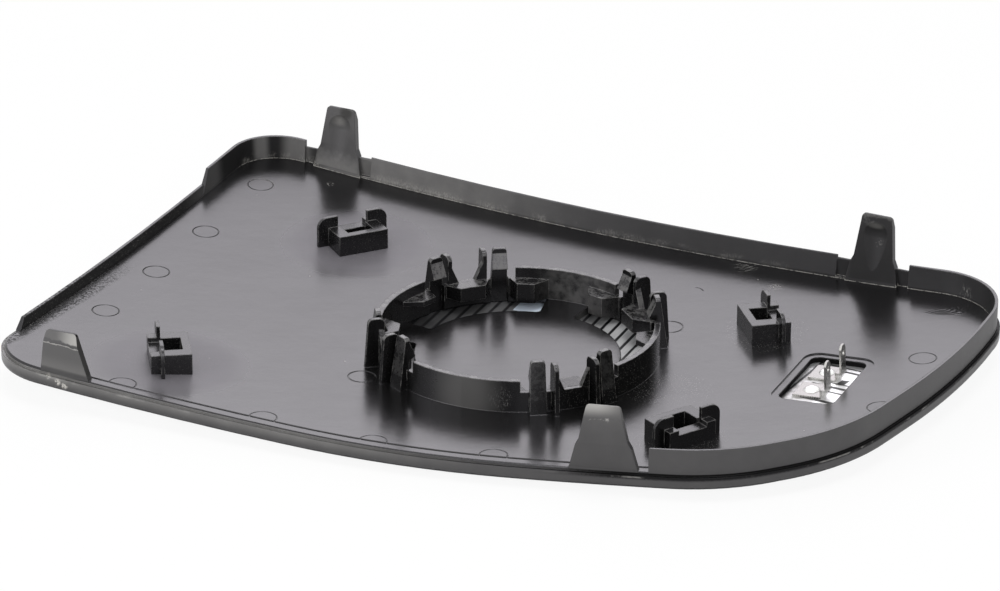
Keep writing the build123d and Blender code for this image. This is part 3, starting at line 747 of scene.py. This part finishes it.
    def painted_shade(self):
        """Share of the darkest faces, which reflect next to nothing: painted shade on the ring's front right,
        the window's sides, the left wall's inside, the back left corner, the front left tab's side, the back
        left tab near its top, the posts and the right lip; the back right tab is darker too.
        """
        walls = self.largest(self.ring_side, self.window_side, self.left_inside * 0.7, self.corner_shade * 0.6)
        left_tab = self.near(*self.back_left_tab_shade)
        right_tab = self.back_tabs * self.step(self.x, *self.right_half_across) * 0.4
        posts = self.largest(self.left_post * 0.5, self.front_post)
        lip = self.right_lip * self.step(self.height, *self.right_lip_shade_height) * 0.8
        return self.largest(walls, self.tab_side, left_tab, right_tab, posts, lip)

    def complete(self):
        """The material of the backing plate."""
        settings = self.settings
        # The grey and bright shares carry painted highlights, sheens and lighter zones besides wear and dust.
        greyed = self.grey_wear_and_painted_light()
        light = self.largest(self.dust(), self.bright_wear_and_painted_light())
        pale = self.pale_marks()
        base = self.mix(greyed, settings.black[:], settings.grey[:])
        base = self.mix(self.haze * self.floor * 0.3, base, settings.haze[:])
        base = self.mix(light, base, settings.dust[:])
        base = self.mix(pale, base, settings.flash[:])
        relief = self.relief()
        plain = self.shader(
            {
                "Base Color": base,
                "Roughness": self.dullness(greyed, light, pale),
                "Normal": relief,
                "IOR": 1.54,
                "Specular Tint": (0.965, 0.945, 1.0, 1),
            }
        )
        # A surface that reflects next to nothing, which lays the painted shade.
        dark = self.shader({"Base Color": base, "Roughness": 0.6, "IOR": 1.12, "Normal": relief})
        return self.finish(self.mix_shader(self.painted_shade(), plain, dark))


class HeaterFilm(Finish):
    """Grey foil tracks on dark film, painted darker on the left as painted shade, and bright bare foil under
    the window. Places are in millimetres.
    """

    # Spans across (x) where the painted shade on the tracks lifts a little, and where it ends.
    track_shade_lift = (-25.0, -17.0)
    track_shade_end = (4.0, 16.0)
    turn_across = (21.6, 24.4)
    turn_along = (16.4, 16.9, 19.0, 19.5)
    bare_across = (-11.6, -3.0)
    bare_along = (24.0, 24.4)
    window_edge = (57.0, 58.0)
    bright_half = (68.2, 68.6)
    foil_middle = 65.0
    foil_rows = ((20.4, 21.2), (22.4, 22.8), (11.8, 12.7), (9.6, 10.1), (4.2, 5.2), (14.2, 14.6))
    rows_edge = (64.5, 65.2)
    row_slant = 0.2
    seam_place = (61.9, 12.1)
    seam_slant = 0.115
    creased_edge = (61.7, 62.1)
    shadow_across = (66.9, 68.6)
    shadow_along = (12.9, 15.4)
    shadow_slant = 0.25

    def __init__(self, settings, dish_radius):
        super().__init__("heater_film")
        self.settings = settings
        self.dish_radius = dish_radius
        self.at = self.place()
        self.x, self.y = self.split(self.at)[:2]
        self.worn = self.noise(self.at, 0.8, 4.0)
        self.crumple = self.noise(self.at, 0.5, 3.0)
        self.gap = self.track_gaps()

    def track_gaps(self):
        """Share of the bare gaps between the tracks, closed where one track turns."""
        pitch = self.settings.track_pitch / MM
        half_gap = self.settings.track_gap / MM / 2
        across = self.maths("PINGPONG", self.x + 500 * pitch, pitch / 2)
        gap = self.step(across, half_gap + 0.06, half_gap - 0.06)
        end_low, end_high, start_low, start_high = self.turn_along
        turning = self.band(self.x, *self.turn_across, 0.2) * self.step(self.y, start_high, start_low)
        return gap * (1 - turning * (1 - self.step(self.y, end_low, end_high)))

    def tracks(self):
        """The colour of the tracks: painted shade on the left, full colour on the right."""
        settings = self.settings
        shade = self.mix(self.step(self.x, *self.track_shade_end), settings.film[:], settings.track[:])
        shade = self.mix(0.1 + self.step(self.x, *self.track_shade_lift) * 0.1, shade, settings.track[:])
        shade = self.mix(self.gap, shade, settings.film[:])
        brushed = self.noise(self.stretched(self.at, 0.0, (0.4, 6, 1)), 1.2, 3.0)
        return self.mix(self.step(brushed, 0.3, 0.75) * 0.15, shade, settings.film[:])

    def foil_lines(self):
        """Share of the dark rows, the seam and the terminal's shadow on the foil in the window."""
        slanted = self.y + (self.x - self.foil_middle) * self.row_slant
        rows = self.largest(*[self.band(slanted, low, high, 0.1) for low, high in self.foil_rows])
        rows = rows * self.step(self.x, *self.rows_edge)
        off_seam = self.maths("ABSOLUTE", self.from_seam() - self.seam_place[0])
        seam = self.step(off_seam + self.worn * 0.2, 0.5, 0.38)
        shadow = self.band(self.x - self.y * self.shadow_slant, *self.shadow_across, 0.1)
        return self.largest(rows, seam, shadow * self.band(self.y, *self.shadow_along, 0.2))

    def from_seam(self):
        """A place across the window, measured along the seam's slant."""
        return self.x - (self.y - self.seam_place[1]) * self.seam_slant

    def foil(self, lines):
        """The colour of the foil: bright on the right, creased and dull between seam and middle."""
        settings = self.settings
        dull = (1 - self.step(self.x, *self.bright_half)) * self.step(self.from_seam(), *self.creased_edge)
        dull = dull * (0.55 + self.step(self.crumple, 0.35, 0.65) * 0.45)
        silver = self.mix(dull, settings.foil[:], settings.dull_foil[:])
        return self.mix(lines, silver, settings.film[:])

    def complete(self):
        """The material of the heater pad."""
        window = self.step(self.x, *self.window_edge)
        lines = self.foil_lines()
        bare = self.band(self.x, *self.bare_across, 0.15) * self.step(self.y, *self.bare_along)
        base = self.mix(window, self.tracks(), self.foil(lines))
        base = self.mix(bare, base, self.settings.bare_glass[:])
        metal = window * (1 - lines) * 0.9 + (1 - self.gap) * (1 - window) * 0.2
        metal = self.maths("MINIMUM", metal, 1) * (1 - bare)
        smooth = self.dished_normal(self.facet(), self.dish_radius, 1)[0]
        height = self.worn + (1 - self.gap) * 0.5 + self.crumple * window * 4
        sockets = {
            "Base Color": base,
            "Metallic": metal,
            "Roughness": 0.26 + self.worn * 0.2 + bare * 0.2,
            "Normal": self.bump(height, 0.2, 0.1 * MM, smooth),
        }
        return self.finish(self.shader(sockets))


def mirror_face(settings, dish_radius):
    """Silvered convex glass with a ground edge."""
    made = Finish("mirror_face")
    smooth, face = made.dished_normal(made.facet(), dish_radius, -1)
    smudge = made.noise(made.place(), 0.05, 4.0)
    sockets = {
        "Base Color": made.mix(face, settings.glass_edge[:], settings.silver[:]),
        "Metallic": face,
        "Roughness": 0.35 - face * 0.33 + face * made.step(smudge, 0.55, 0.8) * 0.03,
        "Normal": smooth,
    }
    return made.finish(made.shader(sockets))


def tin_plate(settings, shade, name, dullness, flat_dullness):
    """Bright tin-plated sheet with stamping lines and soft edges, duller on its level faces."""
    made = Finish(name)
    place = made.place()
    grain = made.noise(made.stretched(place, 0.0, (0.4, 0.4, 6)), 2.5, 4.0)
    stain = made.step(made.noise(place, 0.5, 3.0), 0.5, 0.8) * 0.35
    level = made.step(made.split(made.facet())[2], 0.8, 0.95) * flat_dullness
    sockets = {
        "Base Color": made.mix(made.largest(stain, level), shade[:], settings.stained[:]),
        "Metallic": 1.0,
        "Roughness": dullness + grain * 0.14,
        "Normal": made.bump(grain, 0.15, 0.05 * MM, made.bevel(settings.edge_round)),
    }
    return made.finish(made.shader(sockets))


class DressPlate(bpy.types.Operator):
    """Gives the backing plate its black moulded finish"""

    bl_idname = "mirror_glass.dress_plate"
    bl_label = "Backing plate"

    def execute(self, context):
        dress("backing_plate", Moulding(context.scene.mirror_plastic).complete())
        return {"FINISHED"}


class DressHeater(bpy.types.Operator):
    """Gives the heater film its tracks and bare foil"""

    bl_idname = "mirror_glass.dress_heater"
    bl_label = "Heater film"

    def execute(self, context):
        film = HeaterFilm(context.scene.mirror_heater, context.scene.mirror_plastic.dish_radius)
        dress("heater_pad", film.complete())
        return {"FINISHED"}


class DressMirror(bpy.types.Operator):
    """Gives the glass its silvered face and ground edge"""

    bl_idname = "mirror_glass.dress_mirror"
    bl_label = "Mirror face"

    def execute(self, context):
        face = mirror_face(context.scene.mirror_metal, context.scene.mirror_plastic.dish_radius)
        dress("mirror_glass", face)
        return {"FINISHED"}


class DressTerminals(bpy.types.Operator):
    """Gives the blade terminals and their rivets a tin-plated finish"""

    bl_idname = "mirror_glass.dress_terminals"
    bl_label = "Terminals and rivets"

    def execute(self, context):
        settings = context.scene.mirror_metal
        blade = tin_plate(settings, settings.tin, "tin_blade", 0.2, 0.9)
        dress("blade_terminal_front", blade)
        dress("blade_terminal_rear", blade)
        dress("terminal_rivets", tin_plate(settings, settings.rivet, "tin_rivet", 0.3, 0.0))
        return {"FINISHED"}


def make_floor(settings):
    """The pale floor under the part, which the camera sees nearly white, with a soft shadow."""
    reach = settings.floor_reach
    level = cad_box[0].z
    corners = ((-reach, -reach), (reach, -reach), (reach, reach), (-reach, reach))
    mesh = bpy.data.meshes.new("studio_floor")
    mesh.from_pydata([(x, y, level) for x, y in corners], [], [(0, 1, 2, 3)])
    floor = bpy.data.objects.new("studio_floor", mesh)
    bpy.context.scene.collection.objects.link(floor)
    made = Finish("studio_floor")
    seen = made.add("ShaderNodeLightPath", None, None, "Is Camera Ray")
    matt = made.add("ShaderNodeBsdfDiffuse", None, {"Color": settings.floor[:]})
    white = made.add("ShaderNodeEmission", None, {"Color": WHITE})
    mesh.materials.append(made.finish(made.mix_shader(seen * settings.floor_white, matt, white)))


def make_surroundings(settings):
    """White all round where it is seen straight or in a gloss, and a weaker light on matt faces."""
    world = bpy.data.worlds.new("studio")
    world.use_nodes = True
    made = Nodes(world.node_tree)
    camera = made.add("ShaderNodeLightPath", None, None, "Is Camera Ray")
    glossy = made.also(camera, "Is Glossy Ray")
    through = made.also(camera, "Is Transmission Ray")
    lit = made.add("ShaderNodeBackground", None, {"Color": WHITE, "Strength": settings.fill})
    white = made.add("ShaderNodeBackground", None, {"Color": WHITE})
    surface = made.mix_shader(made.largest(camera, glossy, through), lit, white)
    made.add("ShaderNodeOutputWorld", None, {"Surface": surface})
    bpy.context.scene.world = world


def area_light(name, place, size, power, tint):
    """A soft rectangular lamp that looks at the part."""
    lamp = bpy.data.lights.new(name, "AREA")
    lamp.shape = "RECTANGLE"
    lamp.size, lamp.size_y = size
    lamp.energy = power
    lamp.color = tint
    made = bpy.data.objects.new(name, lamp)
    made.location = place
    made.rotation_euler = (-Vector(place)).to_track_quat("-Z", "Y").to_euler()
    bpy.context.scene.collection.objects.link(made)


def make_camera(settings):
    """The camera at the photograph's angle."""
    camera = bpy.data.cameras.new("photo_camera")
    camera.lens = settings.lens
    camera.sensor_fit = "HORIZONTAL"
    camera.sensor_width = 36.0
    camera.clip_start = 0.01
    forward = Vector(settings.direction).normalized()
    right = forward.cross(Vector((0, 0, 1))).normalized()
    up = right.cross(forward)
    turn = settings.roll
    side = right * math.cos(turn) + up * math.sin(turn)
    head = up * math.cos(turn) - right * math.sin(turn)
    back = -forward
    spot = Vector(settings.target) - forward * settings.distance
    eye = bpy.data.objects.new("photo_camera", camera)
    eye.matrix_world = Matrix(
        (
            (side.x, head.x, back.x, spot.x),
            (side.y, head.y, back.y, spot.y),
            (side.z, head.z, back.z, spot.z),
            (0, 0, 0, 1),
        )
    )
    bpy.context.scene.collection.objects.link(eye)
    bpy.context.scene.camera = eye


class BuildStage(bpy.types.Operator):
    """Makes the pale floor, the white surroundings, the soft lamps and the camera"""

    bl_idname = "mirror_glass.build_stage"
    bl_label = "Studio"

    def execute(self, context):
        settings = context.scene.mirror_stage
        context.scene.view_settings.view_transform = "Standard"
        make_floor(settings)
        make_surroundings(settings)
        for name, place, size, power, tint in SOFTBOXES:
            area_light(name, place, size, power, tint)
        make_camera(settings)
        return {"FINISHED"}


OPERATORS = (DressPlate, DressHeater, DressMirror, DressTerminals, BuildStage)
GROUPS = {
    "mirror_plastic": PlasticSettings,
    "mirror_heater": HeaterSettings,
    "mirror_metal": MetalSettings,
    "mirror_stage": StageSettings,
}


class MirrorPanel(bpy.types.Panel):
    """Lists the steps that dress the mirror glass"""

    bl_idname = "VIEW3D_PT_mirror_glass"
    bl_label = "Mirror glass"
    bl_space_type = "VIEW_3D"
    bl_region_type = "UI"
    bl_category = "Mirror glass"

    def draw(self, context):
        for operator in OPERATORS:
            self.layout.operator(operator.bl_idname)


def register():
    for group in GROUPS.values():
        bpy.utils.register_class(group)
    for name, group in GROUPS.items():
        setattr(bpy.types.Scene, name, bpy.props.PointerProperty(type=group))
    for operator in OPERATORS:
        bpy.utils.register_class(operator)
    bpy.utils.register_class(MirrorPanel)


def unregister():
    bpy.utils.unregister_class(MirrorPanel)
    for operator in reversed(OPERATORS):
        bpy.utils.unregister_class(operator)
    for name, group in GROUPS.items():
        delattr(bpy.types.Scene, name)
        bpy.utils.unregister_class(group)


def main():
    """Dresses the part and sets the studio."""
    register()
    bpy.ops.mirror_glass.dress_plate()
    bpy.ops.mirror_glass.dress_heater()
    bpy.ops.mirror_glass.dress_mirror()
    bpy.ops.mirror_glass.dress_terminals()
    bpy.ops.mirror_glass.build_stage()


if __name__ == "__main__":
    main()
